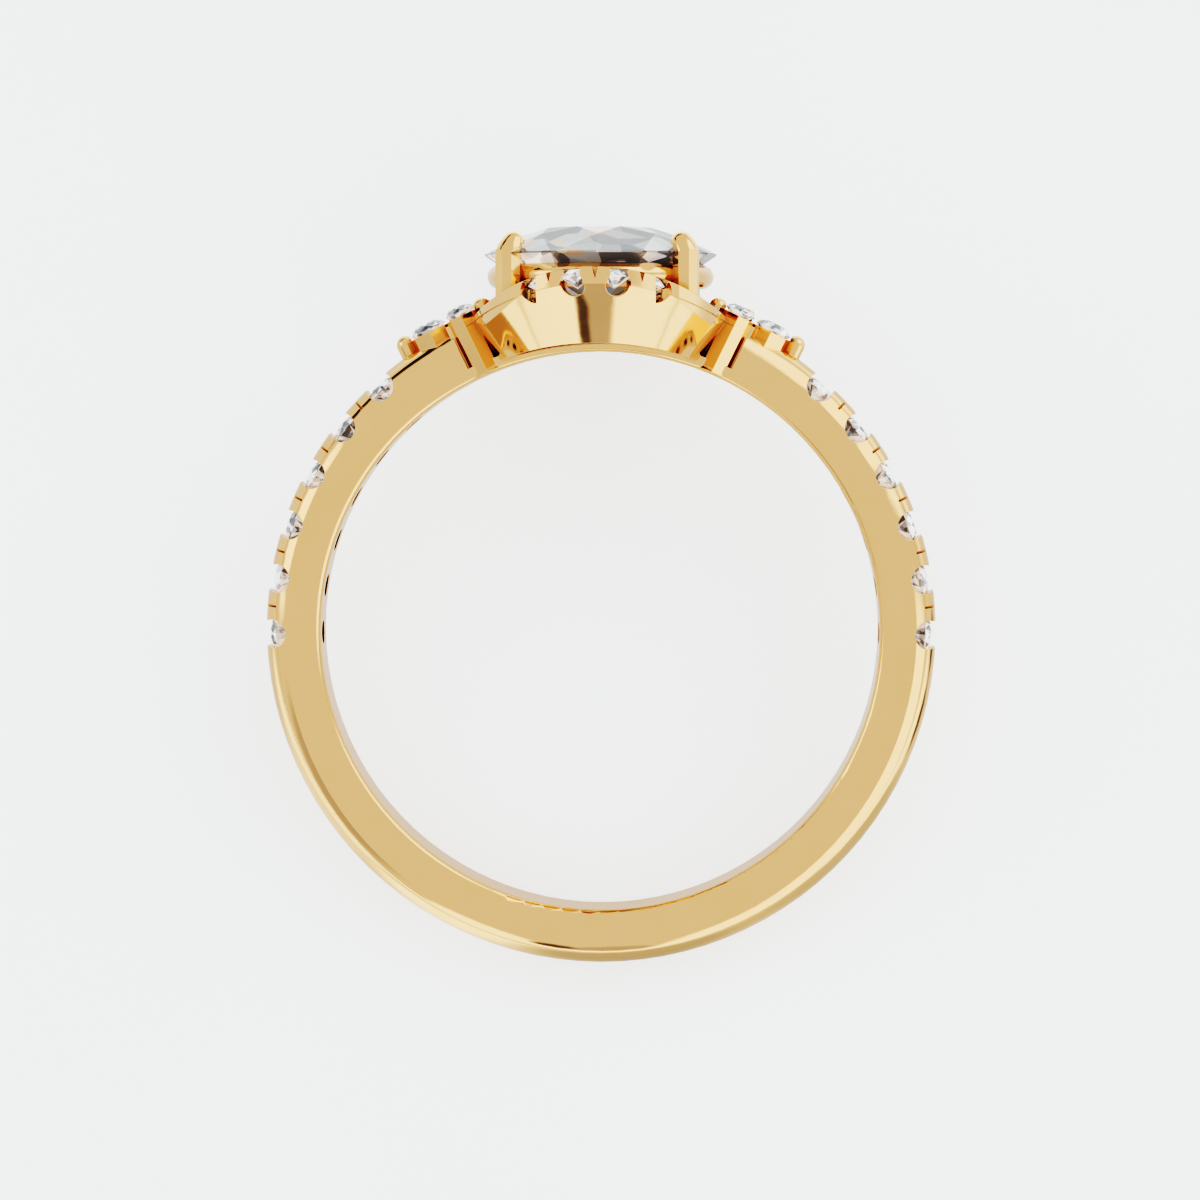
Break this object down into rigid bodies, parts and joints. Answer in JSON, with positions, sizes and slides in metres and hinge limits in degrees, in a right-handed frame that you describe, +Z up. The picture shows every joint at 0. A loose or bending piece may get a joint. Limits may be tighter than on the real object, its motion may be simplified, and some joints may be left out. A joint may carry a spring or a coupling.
{
  "type": "halo engagement ring",
  "caption": "Engagement ring with an oval stone in claws over a saddle-shaped halo, side clusters and pave shoulders, lying on its side.",
  "frame": {"origin": "on the surface that the ring lies on, under the middle of its box", "axes": "+Z up from that surface, +Y from the shank's foot towards the head, +X across the ring"},
  "size_m": [0.0204, 0.0224, 0.0109],
  "materials": {
    "gold": "polished yellow gold",
    "centre_diamond": "polished facets",
    "small_diamonds": "polished facets"
  },
  "bodies": {
    "root": {"mount": "gold", "centre_stone": "centre_diamond", "halo_stone_1": "small_diamonds", "halo_stone_2": "small_diamonds", "halo_stone_3": "small_diamonds", "halo_stone_4": "small_diamonds", "halo_stone_5": "small_diamonds", "halo_stone_6": "small_diamonds", "halo_stone_7": "small_diamonds", "halo_stone_8": "small_diamonds", "cluster_stone_1": "small_diamonds", "cluster_stone_2": "small_diamonds", "cluster_stone_3": "small_diamonds", "cluster_stone_4": "small_diamonds", "cluster_stone_5": "small_diamonds", "cluster_stone_6": "small_diamonds", "pave_stone_1": "small_diamonds", "pave_stone_2": "small_diamonds", "pave_stone_3": "small_diamonds", "pave_stone_4": "small_diamonds", "pave_stone_5": "small_diamonds", "pave_stone_6": "small_diamonds", "pave_stone_7": "small_diamonds", "pave_stone_8": "small_diamonds", "pave_stone_9": "small_diamonds", "pave_stone_10": "small_diamonds", "pave_stone_11": "small_diamonds", "pave_stone_12": "small_diamonds"}
  },
  "joints": []
}
